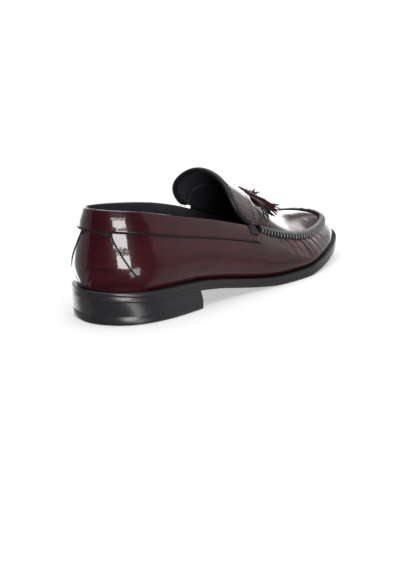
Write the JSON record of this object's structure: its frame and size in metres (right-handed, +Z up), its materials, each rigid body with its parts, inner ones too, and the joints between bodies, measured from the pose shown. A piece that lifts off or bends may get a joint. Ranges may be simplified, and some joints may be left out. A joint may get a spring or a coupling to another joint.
{
  "type": "leather tassel loafer",
  "caption": "Burgundy patent leather slip-on loafer for the right foot, with a raised apron seam, tassels, a high tongue, a collar band and a black leather sole on a low heel.",
  "frame": {"origin": "middle of the sole's length and width, on the ground", "axes": "+Y from the heel to the toe, +X to the outer side of the foot, +Z up"},
  "size_m": [0.1052, 0.3, 0.0901],
  "materials": {
    "patent_leather": "mirror gloss",
    "black_leather": "satin",
    "waxed_thread": "waxed",
    "sole_leather": "polished edge",
    "heel_rubber": "matte"
  },
  "bodies": {
    "root": {"outsole": "sole_leather", "welt": "sole_leather", "heel_block": "sole_leather", "heel_top_piece": "heel_rubber", "insole": "black_leather", "upper": "patent_leather", "apron": "patent_leather", "tongue_strap": "patent_leather", "tongue_binding": "black_leather", "apron_seam": "waxed_thread", "collar_band": "patent_leather", "heel_counter": "patent_leather", "seam_tab_outer": "waxed_thread", "seam_tab_inner": "waxed_thread", "tassel_stay": "waxed_thread", "tassel_outer": "patent_leather", "tassel_inner": "patent_leather"}
  },
  "joints": []
}
